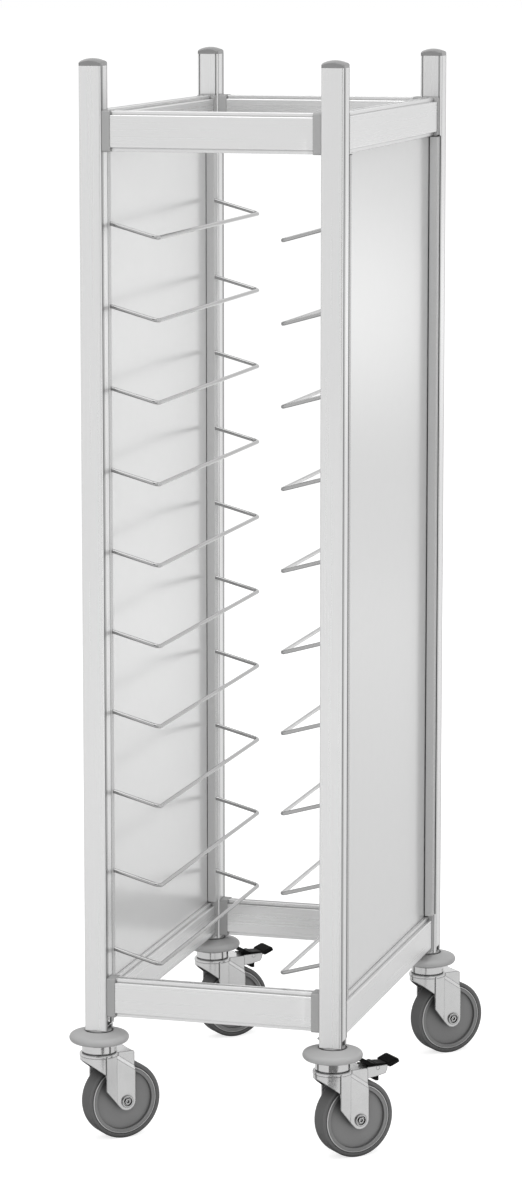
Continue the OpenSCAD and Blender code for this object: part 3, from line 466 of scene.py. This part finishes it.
def finish(
    name, level, spread, rough, rough_spread, grain, bump=0.0, edge=0.0,
    metallic=0.0, specular=0.5, stretch=(1.0, 1.0, 1.0), cloud=5.0, painted_shade=0.65, reach=0.004, open_from=0.75,
    rim_highlight=None, band_shade_level=None, highlight_below=None, edge_shade=None,
):
    """A material with broad clouds and fine grain in colour and roughness, a fine bump and softened edges.

    level is the grey level and rough the roughness, each with the spread that it varies by. grain and cloud
    are in waves per metre, and stretch draws the grain out. bump is the grain's depth, and edge the radius of
    the softened edges. painted_shade is the share of the colour lost to painted shade in joints and grooves
    that are closed in within reach, and none is lost where a surface is as open as open_from. rim_highlight
    is a point on a wheel's axle and the axle's direction, for a painted highlight along the rim's edge;
    band_shade_level is the level of the painted shade in the posts' bands; highlight_below is a height and
    the level of the painted highlight under it; and edge_shade is the share, level and width of the painted
    shade along sharp edges and creases. Lengths are in metres.
    """
    material = new_material(name)
    tree = material.node_tree
    place = object_place(tree)
    along = new_node(tree, "ShaderNodeMapping", {"Vector": place, "Scale": stretch}).outputs["Vector"]
    fine = noise(tree, along, grain, FINE_DETAIL)
    broad = noise(tree, place, cloud, BROAD_DETAIL)
    shade = map_range(tree, math_node(tree, "ADD", fine, broad), SHADE_FROM, UNIT)
    colour = mix(tree, shade, grey(level * (1.0 - spread)), grey(level * (1.0 + spread)))
    # Painted highlight along the edge of a wheel's rim
    if rim_highlight:
        centre, axle = rim_highlight
        colour = mix(tree, rim_highlight_share(tree, place, centre, axle), colour, grey(RIM_HIGHLIGHT_LEVEL))
    # Painted shade in bands along the posts' sides
    if band_shade_level:
        colour = mix(tree, band_shade_share(tree, place), colour, grey(band_shade_level))
    # Painted highlight: lighter under a height, for the bright crescent under each post's foot
    if highlight_below:
        height, highlight_level = highlight_below
        colour = mix(tree, below_share(tree, place, height), colour, grey(highlight_level))
    # Painted shade: the colour darkens towards black in joints and grooves closed in within reach, and near
    # other parts
    colour = mix(tree, unshaded_share(tree, painted_shade, reach, open_from), grey(0.0), colour)
    # Painted shade along sharp edges and creases
    if edge_shade:
        share, edge_shade_level, width = edge_shade
        colour = mix(tree, edge_shade_share(tree, share, width), colour, grey(edge_shade_level))
    polish = map_range(tree, fine, POLISH_FROM, (rough - rough_spread, rough + rough_spread))
    shader = new_node(
        tree, "ShaderNodeBsdfPrincipled",
        {"Base Color": colour, "Roughness": polish, "Metallic": metallic, "Specular IOR Level": specular},
    )
    if edge:
        soft = new_node(tree, "ShaderNodeBevel", {"Radius": edge}, samples=EDGE_SAMPLES).outputs["Normal"]
        relief = new_node(
            tree, "ShaderNodeBump", {"Height": fine, "Distance": bump, "Strength": 1.0, "Normal": soft}
        )
        tree.links.new(relief.outputs["Normal"], shader.inputs["Normal"])
    set_surface(tree, shader)
    return material


def make_materials():
    """Every finish by its name, and each wheel's own, with the painted highlight on the edge of its rim about
    its axle.
    """
    materials = {name: finish(name, **values) for name, values in FINISHES.items()}
    for joint in frame["record"]["behaviour"]["joints"]:
        if joint["name"].startswith("spin_"):
            name = joint["name"].replace("spin_", "wheel_")
            materials[name] = finish(name, rim_highlight=(joint["pos_m"], joint["axis"]), **WHEEL_FINISH)
    return materials


def dress_nodes(materials):
    """Each node's finish: a wheel's own, or the one that its name calls for."""
    for name, node in nodes.items():
        named = next((kind for start, kind in FINISH_OF if name.startswith(start)), OTHER_FINISH)
        chosen = name if name in materials else named
        node.data.materials.clear()
        node.data.materials.append(materials[chosen])


# Panel seals
def add_bar(mesh, low, high):
    """A bar between two corners, with its edges rounded off."""
    made = bmesh.ops.create_cube(mesh, size=1.0)
    middle = (Vector(low) + Vector(high)) / 2
    size = Vector(high) - Vector(low)
    for vert in made["verts"]:
        vert.co = Vector(vert.co[i] * size[i] for i in range(3)) + middle
    edges = {edge for vert in made["verts"] for edge in vert.link_edges}
    bmesh.ops.bevel(
        mesh, geom=list(edges), offset=SEAL_ROUNDING * min(size), segments=SEAL_SEGMENTS, affect="EDGES",
        profile=SEAL_PROFILE,
    )


def seal_bars():
    """Ranges in x, y and z of one strip's bars: inner lip, outer lip, lip along the post, and lid."""
    low, high = STRIP_ENDS_Z
    inner, outer = PANEL_FACES_X
    side = STRIP_SIDE_X + SEAL_OUT
    return [
        ((inner - SEAL_IN, inner), (STRIP_FACE_Y - SEAL_IN, STRIP_FACE_Y), (low, high)),
        ((outer, outer + SEAL_OUT), (STRIP_FACE_Y - SEAL_OUT, STRIP_FACE_Y), (low, high)),
        ((STRIP_SIDE_X, side), (POST_FACE_Y - SEAL_POST, POST_FACE_Y), (low, high)),
        ((outer, side), (STRIP_FACE_Y - SEAL_IN, POST_FACE_Y), (high, high + SEAL_LID)),
    ]


def make_seals(material):
    """Black lips where the panel enters each strip, with a lid over the strip's upper end."""
    for name in nodes:
        if not name.startswith("support_strip_"):
            continue
        corner = name.replace("support_strip_", "")
        x_sign = -1.0 if corner.endswith("left") else 1.0
        y_sign = -1.0 if corner.startswith("front") else 1.0
        work = bmesh.new()
        for x_range, y_range, z_range in seal_bars():
            x_low, x_high = sorted(x_sign * x for x in x_range)
            y_low, y_high = sorted(y_sign * y for y in y_range)
            z_low, z_high = z_range
            add_bar(work, (x_low, y_low, z_low), (x_high, y_high, z_high))
        mesh = bpy.data.meshes.new("panel_seal_" + corner)
        work.to_mesh(mesh)
        work.free()
        mesh.materials.append(material)
        seal = bpy.data.objects.new("panel_seal_" + corner, mesh)
        scene.collection.objects.link(seal)
        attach(seal, "frame")


make_camera()
make_world()
make_floor()
make_lights()
make_dark_cards()
make_window()
finishes = make_materials()
dress_nodes(finishes)
make_seals(finishes["seal_rubber"])

scene.view_settings.view_transform = "Standard"
